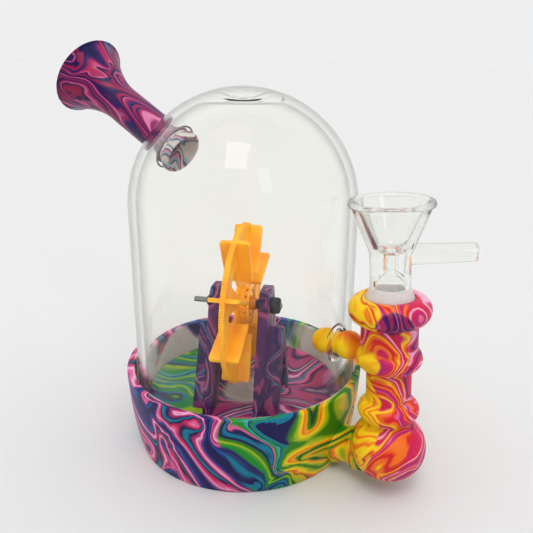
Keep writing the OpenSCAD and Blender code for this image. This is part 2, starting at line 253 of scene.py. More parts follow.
class Tree:
    """A material's node tree, with short calls for the nodes used here."""

    def __init__(self, name):
        self.mat = bpy.data.materials.new(name)
        self.mat.use_nodes = True
        self.nt = self.mat.node_tree
        self.nt.nodes.clear()
        self.out = self.nt.nodes.new("ShaderNodeOutputMaterial")
        self.bsdf = self.nt.nodes.new("ShaderNodeBsdfPrincipled")
        self.nt.links.new(self.bsdf.outputs[0], self.out.inputs["Surface"])

    def put(self, socket, value):
        if isinstance(value, bpy.types.NodeSocket):
            self.nt.links.new(value, socket)
        else:
            socket.default_value = value

    def set(self, **values):
        for name, value in values.items():
            self.put(self.bsdf.inputs[name.replace("_", " ")], value)

    def coords(self):
        """Object coordinates in millimetres."""
        c = self.nt.nodes.new("ShaderNodeTexCoord")
        return self.vec("SCALE", c.outputs["Object"], 1000.0)

    def vec(self, op, a, b=None):
        n = self.nt.nodes.new("ShaderNodeVectorMath")
        n.operation = op
        self.put(n.inputs[0], a)
        if op == "SCALE":
            self.put(n.inputs["Scale"], b)
        elif b is not None:
            self.put(n.inputs[1], b)
        return n.outputs["Value"] if op in ("DOT_PRODUCT", "LENGTH") else n.outputs["Vector"]

    def turn(self, v, rotation, scale):
        n = self.nt.nodes.new("ShaderNodeMapping")
        self.put(n.inputs["Vector"], v)
        n.inputs["Rotation"].default_value = rotation
        n.inputs["Scale"].default_value = scale
        return n.outputs[0]

    def math(self, op, a, b=None, c=None):
        n = self.nt.nodes.new("ShaderNodeMath")
        n.operation = op
        for i, v in enumerate((a, b, c)):
            if v is not None:
                self.put(n.inputs[i], v)
        return n.outputs[0]

    def step(self, v, low, high):
        """Smooth 0 to 1 while v goes from low to high."""
        n = self.nt.nodes.new("ShaderNodeMapRange")
        n.interpolation_type = "SMOOTHSTEP"
        self.put(n.inputs["Value"], v)
        n.inputs["From Min"].default_value, n.inputs["From Max"].default_value = low, high
        return n.outputs["Result"]

    def noise(self, v, scale, detail=1.0, rough=0.5, colour=False):
        n = self.nt.nodes.new("ShaderNodeTexNoise")
        self.put(n.inputs["Vector"], v)
        n.inputs["Scale"].default_value = scale
        n.inputs["Detail"].default_value = detail
        n.inputs["Roughness"].default_value = rough
        return n.outputs["Color" if colour else "Fac"]

    def ramp(self, fac, stops):
        n = self.nt.nodes.new("ShaderNodeValToRGB")
        self.put(n.inputs["Fac"], fac)
        r = n.color_ramp
        r.interpolation = "EASE"
        while len(r.elements) > 1:
            r.elements.remove(r.elements[-1])
        r.elements[0].position = stops[0][0]
        r.elements[0].color = linear(stops[0][1])
        for pos, rgb in stops[1:]:
            e = r.elements.new(pos)
            e.color = linear(rgb)
        return n.outputs["Color"]

    def mix(self, fac, a, b):
        n = self.nt.nodes.new("ShaderNodeMix")
        n.data_type = "RGBA"
        self.put(n.inputs[0], fac)
        self.put(n.inputs[6], a if isinstance(a, bpy.types.NodeSocket) else linear(a))
        self.put(n.inputs[7], b if isinstance(b, bpy.types.NodeSocket) else linear(b))
        return n.outputs[2]

    def bump(self, height, strength, distance):
        n = self.nt.nodes.new("ShaderNodeBump")
        n.inputs["Strength"].default_value = strength
        n.inputs["Distance"].default_value = distance
        self.put(n.inputs["Height"], height)
        return n.outputs[0]

    def warp(self, v, scale, amount):
        """v pushed about by smooth noise, as ink is by a stick drawn through it."""
        c = self.vec("SUBTRACT", self.noise(v, scale, 0.0, colour=True), (0.5, 0.5, 0.5))
        return self.vec("ADD", v, self.vec("SCALE", c, amount))

    def along(self, v, axis, stretch):
        """v squeezed along a direction, so that what is drawn on it comes out this much longer that way."""
        a = Vector(axis).normalized()
        shrink = tuple(a * (1 / stretch - 1))
        return self.vec("ADD", v, self.vec("SCALE", shrink, self.vec("DOT_PRODUCT", v, tuple(a))))

    def flow(self, v, swirl, push, across, period, comb=0.14):
        """(how far each place is pushed, band value 0 to 1): stripes of ink, folded over by swirls."""
        q = v
        for size, part in ((1.0, 1.0), (0.60, 0.46), (0.34, 0.11), (0.18, 0.03)):
            q = self.warp(q, 1 / (swirl * size), push * part)
        moved = self.vec("SUBTRACT", q, v)
        across = Vector(across).normalized()
        stripe = self.vec("DOT_PRODUCT", q, tuple(across / period))
        # Thin strands that run along the bands
        slowly = self.vec("SCALE", q, 0.9 / period)
        strands = self.vec("ADD", self.vec("SCALE", tuple(across * 7), stripe), slowly)
        fine = self.noise(strands, 1.0, 2.0, 0.6)
        broad = self.noise(q, 1.2 / period, 0.0)
        s = self.math("MULTIPLY_ADD", fine, comb, self.math("MULTIPLY_ADD", broad, 0.9, stripe))
        return moved, self.math("FRACT", s)

    def silicone(self, colour, v, rough=0.42):
        """Printed silicone: satin, with a faint skin and slightly glossier ink."""
        skin = self.noise(v, 1.1, 3.0)
        self.set(Base_Color=colour, Roughness=self.math("MULTIPLY_ADD", skin, 0.16, rough - 0.08),
                 Normal=self.bump(self.noise(v, 5.0, 2.0), 0.12, 0.00006))
        self.bsdf.inputs["Specular IOR Level"].default_value = 0.25
        return self.mat


def evenly(colours, edge=0.4):
    """Ramp stops for bands of colour, given as (width, rgb) in order.

    Each edge takes this part of a band. A thin band is one stop, since a ramp holds 32 at most."""
    total = sum(w for w, _ in colours)
    stops, at = [], 0.0
    for w, rgb in colours:
        share = w / total
        stops += [(at + share * k, rgb) for k in ((0.5,) if w <= 1 else (edge, 1 - edge))]
        at += share
    return stops


NAVY, INDIGO, VIOLET = (18, 12, 76), (34, 16, 92), (78, 18, 100)
MAGENTA, CERISE, PINK, BLUSH = (176, 30, 104), (204, 24, 84), (224, 92, 152), (236, 172, 206)
TEAL, BLUE, AQUA = (0, 118, 150), (16, 78, 160), (60, 168, 182)
GREEN, LEAF, LIME, DEEP = (16, 140, 40), (52, 128, 10), (160, 188, 20), (6, 62, 34)
YELLOW, GOLD, ORANGE, RED = (248, 204, 20), (236, 170, 8), (238, 112, 24), (212, 26, 36)
GREY = (222, 218, 212)

COOL = evenly([(5, NAVY), (0.7, BLUE), (3, INDIGO), (0.8, PINK), (3, MAGENTA), (1.4, BLUSH),
               (3, PINK), (2.4, CERISE), (3, NAVY), (1.4, TEAL), (2, NAVY), (3, MAGENTA),
               (1.4, BLUSH), (2.4, PINK), (2, VIOLET), (1, BLUE), (3, INDIGO)])
FRESH = evenly([(3, NAVY), (3, TEAL), (1, INDIGO), (6, GREEN), (0.8, LIME), (4, LEAF), (2, NAVY),
                (4, TEAL), (1, NAVY), (0.8, PINK), (5, GREEN), (0.8, AQUA), (1, NAVY),
                (3, (24, 132, 60)), (2, TEAL)])
WARM = evenly([(3, LEAF), (2, LIME), (4, YELLOW), (1, ORANGE), (2, GOLD), (2, LEAF), (1.6, DEEP),
               (3, LIME), (3, GOLD), (1, LEAF), (2, ORANGE), (4, YELLOW), (2, LIME), (2, LEAF)])
FIRE = evenly([(1, ORANGE), (4, RED), (1.4, ORANGE), (0.8, YELLOW), (2, ORANGE), (4, CERISE),
               (0.8, BLUSH), (3, RED), (3, CERISE), (0.8, YELLOW), (2, ORANGE), (3, RED), (1, PINK),
               (3, MAGENTA), (3, CERISE), (1, ORANGE)])
ROSY = evenly([(2, CERISE), (2, RED), (0.8, BLUSH), (4, CERISE), (2, MAGENTA), (1, PINK),
               (0.8, ORANGE), (3, RED), (1, BLUSH), (4, CERISE), (1.4, VIOLET), (2, CERISE)])
SUNNY = evenly([(4, YELLOW), (1, GOLD), (5, YELLOW), (0.6, ORANGE), (3, YELLOW), (1, ORANGE),
                (2, YELLOW), (0.7, RED), (5, YELLOW), (1, GOLD), (3, YELLOW)])
WINE = evenly([(3, (150, 22, 76)), (1.5, NAVY), (2, VIOLET), (3, (168, 28, 88)),
               (0.4, (212, 122, 164)), (2, (140, 30, 92)), (3, INDIGO), (2, (46, 20, 78)),
               (3, (152, 20, 74)), (2, NAVY), (0.4, (204, 84, 138)), (3, (170, 32, 84)),
               (2, VIOLET), (3, NAVY), (2, (140, 30, 92)), (1, (150, 22, 76))])
DUSK = evenly([(3, (72, 28, 88)), (3, NAVY), (2, (118, 44, 104)), (0.9, TEAL), (3, (34, 20, 74)),
               (2, (158, 54, 104)), (0.9, (150, 106, 150)), (3, (68, 26, 86)), (3, (24, 20, 66)),
               (1.4, (150, 62, 108)), (3, (72, 28, 88))])
POND = evenly([(4, (30, 132, 70)), (1, LIME), (3, (60, 160, 60)), (2, TEAL), (1, NAVY), (1, AQUA),
               (3, (40, 140, 60)), (1, LIME), (2, (24, 110, 70)), (1, VIOLET), (2, TEAL),
               (3, (30, 132, 70))])
ROSE = evenly([(3, (176, 62, 116)), (1, NAVY), (3, PINK), (1.4, TEAL), (3, (126, 50, 108)),
               (1, BLUSH), (2, MAGENTA), (1.4, NAVY), (1.4, (186, 170, 180)), (2, VIOLET),
               (2, (164, 56, 110))])
SHADY = evenly([(3, (214, 206, 200)), (0.8, (70, 60, 110)), (2, (110, 178, 190)),
                (3, (232, 140, 176)), (1, (80, 50, 100)), (4, (232, 226, 216)), (1, (130, 40, 90)),
                (2, (150, 196, 204)), (2, (214, 206, 200))])

# Level and square to the main view's direction
ACROSS = (0.82, 0.57, 0)


def cup_material():
    t = Tree("marbled_cup")
    v = t.coords()
    moved, s = t.flow(v, 31, 54, (0.66, 0.46, 0.35), 21)
    # Cool, then fresh, then warm colours towards the stem, with edges pushed about by the swirls
    towards_stem = (math.cos(0.35), math.sin(0.35), 0)
    near = t.vec("DOT_PRODUCT", t.vec("ADD", v, t.vec("SCALE", moved, 0.5)), towards_stem)
    colour = t.mix(t.step(near, 11.9, 12.9), t.ramp(s, COOL), t.ramp(s, FRESH))
    colour = t.mix(t.step(near, 28, 29), colour, t.ramp(s, WARM))
    # The inner wall is hardly printed below the rim
    sep = t.nt.nodes.new("ShaderNodeSeparateXYZ")
    t.put(sep.inputs[0], v)
    height = sep.outputs[2]
    radius = t.vec("LENGTH", t.vec("MULTIPLY", v, (1, 1, 0)))
    inside = t.step(t.math("MULTIPLY_ADD", height, -0.085, radius), 36.95, 36.65)
    patchy = t.noise(t.vec("ADD", v, t.vec("SCALE", moved, 0.2)), 1 / 13, 0.5)
    depth = t.math("MULTIPLY_ADD", t.math("SUBTRACT", patchy, 0.5), 40.0, height)
    bare = t.math("MULTIPLY", inside, t.step(depth, CUP_H - 1, CUP_H - 7))
    colour = t.mix(t.math("MULTIPLY", bare, 0.92), colour, GREY)
    return t.silicone(colour, v)


def stem_material():
    t = Tree("marbled_stem")
    v = t.coords()
    moved, s = t.flow(v, 22, 38, (0.75, 0.6, 0.1), 17)
    from_axis = t.vec("ADD", t.vec("SUBTRACT", v, (STEM_X, 0, 0)), t.vec("SCALE", moved, 0.3))
    side = t.vec("DOT_PRODUCT", from_axis, ACROSS)
    colour = t.mix(t.step(side, -7.0, -7.7), t.ramp(s, FIRE), t.ramp(s, SUNNY))
    colour = t.mix(t.step(side, 2.5, 3.5), colour, t.ramp(s, ROSY))
    # Green and yellow near the arm
    near = t.vec("DOT_PRODUCT", t.vec("ADD", v, t.vec("SCALE", moved, 0.15)), (1, 0, 0.35))
    colour = t.mix(t.step(near, 55.6, 55), colour, t.ramp(s, WARM))
    # A dark drop of ink on the collar's front
    drop = t.vec("SUBTRACT", t.vec("ADD", v, t.vec("SCALE", moved, 0.12)), (60.5, -10.0, 60.5))
    spot = t.vec("LENGTH", t.vec("MULTIPLY", drop, (1, 1, 1.5)))
    colour = t.mix(t.step(spot, 7.0, 6.0), colour, t.ramp(s, WINE))
    return t.silicone(colour, v)


def plain_marble(name, stops, swirl, push, across, period):
    t = Tree(name)
    v = t.coords()
    moved, s = t.flow(v, swirl, push, across, period)
    return t.silicone(t.ramp(s, stops), v)


def floor_material():
    t = Tree("marbled_floor")
    v = t.coords()
    moved, s = t.flow(v, 30, 44, (-0.5, 0.8, 0.1), 15)
    side = t.vec("DOT_PRODUCT", t.vec("ADD", v, t.vec("SCALE", moved, 0.2)), ACROSS)
    colour = t.mix(t.step(side, -14, -11.5), t.ramp(s, POND), t.ramp(s, ROSE))
    # Under and behind the wheel the moulding is bare
    pushed = t.vec("ADD", v, t.vec("SCALE", moved, 0.1))
    middle = t.vec("LENGTH", t.vec("SUBTRACT", pushed, (-1.0, 3.0, 14.5)))
    return t.silicone(t.mix(t.math("MULTIPLY", t.step(middle, 11, 7), 0.8), colour, GREY), v)


def mouth_material():
    t = Tree("marbled_mouthpiece")
    v = t.coords()
    axis = (-math.cos(MOUTH_RISE), 0, math.sin(MOUTH_RISE))
    moved, s = t.flow(t.along(v, axis, 3.2), 15, 26, (0.3, -0.75, 0.5), 9)
    teal = t.noise(t.along(t.vec("ADD", v, t.vec("SCALE", moved, 0.5)), axis, 3.0), 1 / 9, 0.5)
    blue = evenly([(2, TEAL), (1, NAVY), (3, (10, 88, 118)), (1, AQUA), (2, INDIGO)])
    colour = t.mix(t.step(teal, 0.62, 0.645), t.ramp(s, WINE), t.ramp(s, blue))
    return t.silicone(colour, v, 0.38)


def grommet_material():
    t = Tree("marbled_grommet")
    v = t.coords()
    moved, s = t.flow(v, 16, 26, (0.2, 0.3, 1), 12)
    axis = (-math.cos(MOUTH_RISE), 0, math.sin(MOUTH_RISE))
    u = t.vec("DOT_PRODUCT", t.vec("SUBTRACT", v, (0, 0, CROWN_Z)), axis)
    colour = t.mix(t.step(u, 35.5, 36.8), t.ramp(s, SHADY), t.ramp(s, WINE))
    return t.silicone(colour, v)


def glass_material(name, face, edge, mirror=1.0, lets=0.96):
    """Clear glass whose colour darkens where it is seen edge-on: painted shade along its edges. Lamps light
    what is behind it straight through it.
    """
    t = Tree(name)
    side_on = t.nt.nodes.new("ShaderNodeLayerWeight")
    side_on.inputs["Blend"].default_value = 0.5
    # The colour goes from face to edge as the surface turns edge-on: painted shade
    t.set(Base_Color=t.mix(t.step(side_on.outputs["Facing"], 0.55, 0.92), face, edge),
          Roughness=0.0, IOR=1.47, Transmission_Weight=1.0)
    t.bsdf.inputs["Specular Tint"].default_value = (mirror, mirror, mirror, 1)
    path = t.nt.nodes.new("ShaderNodeLightPath")
    clear = t.nt.nodes.new("ShaderNodeBsdfTransparent")
    clear.inputs["Color"].default_value = (lets, lets, lets, 1)
    mix = t.nt.nodes.new("ShaderNodeMixShader")
    t.nt.links.new(path.outputs["Is Shadow Ray"], mix.inputs[0])
    t.nt.links.new(t.bsdf.outputs[0], mix.inputs[1])
    t.nt.links.new(clear.outputs[0], mix.inputs[2])
    t.nt.links.new(mix.outputs[0], t.out.inputs["Surface"])
    return t.mat


def frosted_material():
    t = Tree("frosted_glass")
    v = t.coords()
    grain = t.noise(t.along(v, (0, 0, 1), 5.0), 2.2, 3.0)
    t.set(Base_Color=t.mix(grain, (200, 193, 191), (232, 226, 223)), Roughness=0.6,
          Normal=t.bump(grain, 0.3, 0.00005), IOR=1.47)
    t.bsdf.inputs["Subsurface Weight"].default_value = 0.3
    t.bsdf.inputs["Subsurface Radius"].default_value = (1.0, 0.9, 0.9)
    t.bsdf.inputs["Subsurface Scale"].default_value = 0.001
    return t.mat


def steel_material():
    t = Tree("steel_rod")
    v = t.coords()
    turned = t.turn(v, (0, 0, -STAND_YAW), (6, 1, 1))
    scratch = t.noise(turned, 1.2, 3.0)
    t.set(Base_Color=t.mix(scratch, (96, 96, 94), (168, 168, 164)), Metallic=1.0,
          Roughness=t.math("MULTIPLY_ADD", scratch, 0.2, 0.24), Normal=t.bump(scratch, 0.25, 0.00003))
    return t.mat


def rubber_material():
    t = Tree("black_rubber_skin")
    v = t.coords()
    grain = t.noise(v, 3.0, 3.0)
    t.set(Base_Color=t.mix(grain, (14, 14, 14), (34, 34, 33)), Roughness=0.5,
          Normal=t.bump(grain, 0.3, 0.00006))
    return t.mat


def wheel_material(name="amber_plastic", deep=0.0):
    """Moulded amber plastic that lets a little light into it, with a faint painted glow all over."""
    t = Tree(name)
    v = t.coords()
    cloud = t.noise(v, 0.14, 2.0)
    fine = t.noise(v, 2.4, 2.0)
    light, dark = (255 - 50 * deep, 184 - 66 * deep, 0), (246 - 70 * deep, 155 - 56 * deep, 0)
    t.set(Base_Color=t.mix(t.step(cloud, 0.35, 0.68), light, dark),
          Roughness=t.math("MULTIPLY_ADD", fine, 0.12, 0.3), Normal=t.bump(fine, 0.15, 0.00005))
    # Painted glow: the whole part gives off a little of its lighter amber
    t.bsdf.inputs["Emission Color"].default_value = linear(light)
    t.bsdf.inputs["Emission Strength"].default_value = 0.10
    t.bsdf.inputs["Subsurface Weight"].default_value = 0.12
    t.bsdf.inputs["Subsurface Radius"].default_value = (1.0, 0.45, 0.08)
    t.bsdf.inputs["Subsurface Scale"].default_value = 0.002
    return t.mat


CUP_MAT = cup_material()
STEM_MAT = stem_material()
PLUG_MAT = plain_marble("marbled_plug", SUNNY, 18, 22, (0.3, 0.2, 1), 20)
FLOOR_MAT = floor_material()
POST_MAT = plain_marble("marbled_posts", DUSK, 22, 40, (0.6, 0.75, 0.12), 14)
MOUTH_MAT = mouth_material()
GROMMET_MAT = grommet_material()
# The second colour of each glass is its painted edge-on shade
GLASS = glass_material("clear_dome_glass", (255, 255, 252), (112, 118, 104), 0.35)
BOWL_GLASS = glass_material("clear_bowl_glass", (252, 253, 250), (82, 84, 74), 0.8)
FROSTED = frosted_material()
STEEL = steel_material()
RUBBER = rubber_material()
AMBER = wheel_material()
OCHRE = wheel_material("ochre_plastic", 1.0)


# ---------------------------------------------------------------- cup, floor and posts

def cup_side(z):
    """The cup's outside radius at a height. It opens upwards and bellies out a little."""
    foot_r, belly = 37.4, 3.2
    k = z / CUP_H
    return foot_r + (RIM_R - foot_r) * k + belly * k * (1 - k)


def build_cup():
    wall = [(cup_side(z), z, 0) for z in [1.2 + (CUP_H - 1.8) * i / 16 for i in range(17)]]
    foot = [(0, 0, 0), (26, 0, 0), (26.2, 1.4, 0.4), (30.8, 1.4, 0.4), (31, 0, 0), (37.3, 0, 0.9)]
    rim = [(RIM_R, CUP_H, 0.55), (RIM_R - 2.5, CUP_H, 0.5)]
    seat = [(37.9, 11, 0.4), (34.75, 11, 0), (34.75, 9, 0), (0, 9, 0)]
    profile = rounded(foot + wall + rim + seat)
    cup = lathe("cup_body", dense(profile, 1.2), segs=224, sharp=60)
    return finish_piece(cup, CUP_MAT, "base", "cup_silicone", "base_cup")


def build_floor():
    flat_z, rise = 14.5, 4.2
    dish = []
    for i in range(17):
        k = i / 16
        dish.append((33.9 - 11.9 * k, flat_z + rise * (1 - k) ** 2))
    edge = [(0, 9.05), (34.65, 9.05), (34.65, 18.5)] + arc(34.3, 18.5, 0.3, 0, 90, 4)
    profile = edge + dish + [(11, flat_z), (0, flat_z)]
    floor = lathe("floor_dish", dense(profile, 1.2), segs=192, sharp=50)
    return finish_piece(floor, FLOOR_MAT, "base", "floor_silicone", "floor_insert")


def leg_outline(head, top, foot, low, apex, spread, arch_low):
    """A post's plate or rib from the side: two legs that meet in a round head, and an arch."""
    inset = min(2.2, head * 0.5)
    right = [(foot, low, 0), (foot, low + 2.0, 0.5)]
    right += [(head, top - inset, inset * 0.9), (head - inset, top, inset)]
    left = [(-x, y, r) for x, y, r in reversed(right)]
    arch = [(-spread, arch_low, 0), (-1.2, apex - 0.6, 0.9), (1.2, apex - 0.6, 0.9), (spread, arch_low, 0)]
    return rounded(right + left + arch, 5)


def build_post(name, side, node):
    plate = slab(name, leg_outline(5.5, 56.5, 16.5, 12.4, 33, 10.5, 12.4), 7, 10.3, SIDEWAYS)
    rib_side = leg_outline(1.9, 42.5, 13, 12.5, 33.4, 10.2, 12.5)
    rib = slab(name + "_rib", rib_side, 10.0, 14.9, SIDEWAYS)
    bore = lathe(name + "_bore", [(0, -2), (1.04, -2), (1.04, 20), (0, 20)],
                 Matrix.Translation((0, 0, AXLE_Z)) @ Matrix.Rotation(math.pi / 2, 4, "Y"), 32)
    combine(plate, rib, "UNION")
    bevel(plate, 0.75, 3, 28)
    combine(plate, bore, "DIFFERENCE")
    mirror = Matrix.Scale(-1, 4, (1, 0, 0)) if side < 0 else UPRIGHT
    plate.data.transform(ON_STAND @ Matrix.Translation((WHEEL_S * MM, 0, 0)) @ mirror)
    if side < 0:
        plate.data.flip_normals()
    smooth(plate, 45)
    return finish_piece(plate, POST_MAT, "base", "post_silicone", node)


# ---------------------------------------------------------------- arm, stem and plug

def build_arm():
    start, end = Vector((34.5, 0, 8.3)), Vector((54, 0, 11.9))
    tube_r, cup_flare, ball_flare, ball_x = 5.15, 1.9, 2.6, 46.6
    axis = (end - start).normalized()
    up = axis.cross(Vector((0, 1, 0))).normalized() * -1
    rows, segs, n = [], 64, 60
    verts, faces = [], []
    for i in range(n + 1):
        k = i / n
        c = start.lerp(end, k)
        wall = c.x - cup_side(c.z)
        ball = ball_x - c.x
        r = tube_r + cup_flare * math.exp(-max(wall, 0) / 1.7)
        r += ball_flare * math.exp(-max(ball, 0) / 2.2)
        if wall < 0:
            r = 7.05 - 0.2 * min(-wall, 4)
        if ball < 0:
            r = 7.6
        rows.append(len(verts))
        for j in range(segs):
            a = TAU * j / segs
            verts.append(tuple(c + r * (math.cos(a) * Vector((0, 1, 0)) + math.sin(a) * up)))
    for a, b in zip(rows, rows[1:]):
        faces += [[a + j, a + (j + 1) % segs, b + (j + 1) % segs, b + j] for j in range(segs)]
    faces += [list(range(rows[0], rows[0] + segs)), list(range(rows[-1], rows[-1] + segs))]
    arm = make("arm_body", verts, faces, sharp=70)
    return finish_piece(arm, CUP_MAT, "base", "arm_silicone", "base_arm")


def build_stem():
    def ring(w, at, r, rnd):
        """The radius of a round ring at a place along the stem, or none beside it."""
        d = abs(w - at)
        return r - rnd + math.sqrt(rnd * rnd - d * d) if d < rnd else 0.0

    # Place along the stem, radius and roundness of the ball end, two rings and the collar
    rings = ((0, 11.85, 10.2), (13.2, 9.45, 3.4), (30.6, 10.0, 3.5), (46.2, 12.35, 4.1))
    low, high, step = -10.2, 50.3, 0.1
    ws = [low + step * i for i in range(int((high - low) / step) + 1)]
    radii = []
    for w in ws:
        r = max(ring(w, at, radius, rnd) for at, radius, rnd in rings)
        if 0 < w < 30.6:
            r = max(r, 6.9)
        if 30.6 <= w < 46.2:
            r = max(r, 8.6)
        if w >= 46.2:
            r = max(r, 8.25)
        radii.append(r)
    radii = soften(radii, 14)
    outer = [(0, low)]
    for w, r in zip(ws[1:], radii[1:]):
        if w > 50.2:
            break
        if math.hypot(r - outer[-1][0], w - outer[-1][1]) > 0.32:
            outer.append((r, w))
    socket = [(7.7, 50.2), (7.36, 49.8), (6.5, 32.7), (3.6, 32.0), (3.6, 27.6), (0, 27.6)]
    stem = lathe("stem_body", outer + dense(socket, 1.0), ON_STEM, 160, 60)
    return finish_piece(stem, STEM_MAT, "base", "stem_silicone", "stem")


def build_plug():
    def lobe(w, at, r):
        """The radius of a round bulb at a place along the plug, or none beside it."""
        d = w - at
        return math.sqrt(r * r - d * d) if abs(d) < r else 0.0

    ws = [-8.35 + 0.08 * i for i in range(int(20.6 / 0.08) + 1)]
    radii = []
    for w in ws:
        r = max(lobe(w, -4.15, 4.2), lobe(w, 4.85, 4.6))
        if -4.15 < w < 4.85:
            r = max(r, 3.55)
        if w > 4.85:
            r = max(r, 2.3 + 2.2 * max(0, (w - 8.2) / 4) ** 2)
        radii.append(r)
    radii = soften(radii, 10)
    profile = [(0, ws[0])]
    for w, r in zip(ws[1:], radii[1:]):
        if math.hypot(r - profile[-1][0], w - profile[-1][1]) > 0.22:
            profile.append((r, w))
    profile.append((0, ws[-1]))
    plug = lathe("plug_body", profile, ON_PLUG, 96, 60)
    return finish_piece(plug, PLUG_MAT, "base", "plug_silicone", "inlet_plug")


# ---------------------------------------------------------------- glass

def build_dome():
    glass_t, seat = 2.5, 11.02
    inner_r = DOME_R - glass_t
    lens_edge = math.degrees(math.asin(16.2 / inner_r))
    edge = [(inner_r + 0.5, seat)] + arc(DOME_R - 0.7, seat + 0.7, 0.7, -90, 0, 4)[:-1]
    outside = arc(0, CROWN_Z, DOME_R, 0, 90, 60)[:-1] + [(0, CROWN_Z + DOME_R)]
    inner = arc(0, CROWN_Z, inner_r, 0, 90 - lens_edge, 44)
    # The glass is thicker at the crown, with faint rings from blowing
    lens_r, swell, ripple, steps = 15.5, 1.9, 0.15, 24
    crown = []
    for i in range(steps + 1):
        r = lens_r * i / steps
        thicker = swell * (0.5 + 0.5 * math.cos(math.pi * i / steps))
        thicker += ripple * math.sin(math.pi * i / 6) * (1 - i / steps)
        crown.append((r, CROWN_Z + math.sqrt(inner_r ** 2 - r ** 2) - thicker))
    inside = crown + inner[::-1] + [(inner_r, seat + 0.5)]
    wall = dense(edge + [(DOME_R, CROWN_Z - 0.01)], 2.0)
    shell = lathe("dome_glass", wall + outside + dense(inside, 2.0), segs=176, sharp=60)
    # Each hole's edge is melted to a round lip
    lip_r, reach = 1.45, 5
    for at_hole, at, hole_r in ((ON_MOUTH, PORT_X, 6.4), (ON_PLUG, 0.0, 3.7)):
        drill_r = hole_r + 0.55
        bit = [(0, at - reach), (drill_r, at - reach), (drill_r, at + reach), (0, at + reach)]
        combine(shell, lathe("drill", bit, at_hole, 72), "DIFFERENCE")
        ring = [(hole_r + lip_r + lip_r * math.cos(TAU * i / 28), at + lip_r * math.sin(TAU * i / 28))
                for i in range(28)]
        combine(shell, lathe("lip", ring, at_hole, 72), "UNION")
    smooth(shell, 32)
    return finish_piece(shell, GLASS, "base", "clear_glass", "dome")


def build_bowl():
    outer = rounded([(4.45, 53.12, 0), (5.95, 53.12, 0.3), (5.95, 59.1, 3), (6.2, 63.4, 1.6),
                     (11.75, 77.4, 0)])
    bead = arc(11.4, 77.8, 1.05, -35, 170, 12)
    inner = rounded([(10.35, 78.0, 0), (3.9, 64.9, 1.8), (1.5, 64.1, 0.5), (1.5, 58.6, 0.8),
                     (3.0, 57.2, 1.2), (4.4, 55.6, 1.2), (4.4, 53.12, 0)])
    bowl = lathe("bowl_glass", dense(outer, 1.5) + bead + dense(inner, 1.5), ON_STEM, 112, 50)
    at_handle = ON_STEM @ Matrix.Translation((0, 0, 62.7))
    at_handle = at_handle @ Matrix.Rotation(math.radians(34), 4, "Z") @ Matrix.Rotation(math.pi / 2, 4, "Y")
    rod = rounded([(0, 3.2, 0), (3.1, 3.2, 0), (3.05, 8, 2), (2.75, 24.8, 0.7), (0, 24.8, 0)])
    combine(bowl, lathe("handle", dense(rod, 2.0), at_handle, 64), "UNION")
    smooth(bowl, 40)
    finish_piece(bowl, BOWL_GLASS, "bowl", "clear_glass", "bowl_funnel", "bowl_neck", "bowl_handle")
    cone = [(4.4, 53.0), (5.93, 53.0), (7.3, 49.75), (7.3, 49.6), (6.45, 32.75), (4.4, 32.75)]
    joint = lathe("bowl_joint_glass", dense(cone, 1.0), ON_STEM, 112, 40)
    finish_piece(joint, FROSTED, "bowl", "frosted_glass", "bowl_joint")


# ---------------------------------------------------------------- wheel

def toothed(name, outer, inner, low, high, teeth, tooth, matrix, rounding=0.25):
    """A flat ring with fine teeth on its outside and soft edges."""
    per = 4
    n = teeth * per
    bump = [0.0, tooth * 0.7, tooth, tooth * 0.7]
    rows = []
    verts, faces = [], []
    levels = [(inner, low, 0), (outer - rounding, low, 1), (outer, low + rounding, 1),
              (outer, high - rounding, 1), (outer - rounding, high, 1), (inner, high, 0)]
    for r, z, wavy in levels:
        rows.append(len(verts))
        for i in range(n):
            rr = r - (tooth - bump[i % per] if wavy else 0)
            a = TAU * i / n
            verts.append((rr * math.cos(a), rr * math.sin(a), z))
    for a, b in zip(rows, rows[1:] + rows[:1]):
        faces += [[a + i, a + (i + 1) % n, b + (i + 1) % n, b + i] for i in range(n)]
    return make(name, verts, faces, matrix, 50)


def join(name, parts):
    """Several meshes as one object."""
    bm = bmesh.new()
    for p in parts:
        bm.from_mesh(p.data)
    mesh = bpy.data.meshes.new(name)
    bm.to_mesh(mesh)
    bm.free()
    for p in parts:
        bpy.data.objects.remove(p, do_unlink=True)
    obj = bpy.data.objects.new(name, mesh)
    bpy.context.scene.collection.objects.link(obj)
    smooth(obj, 45)
    return obj


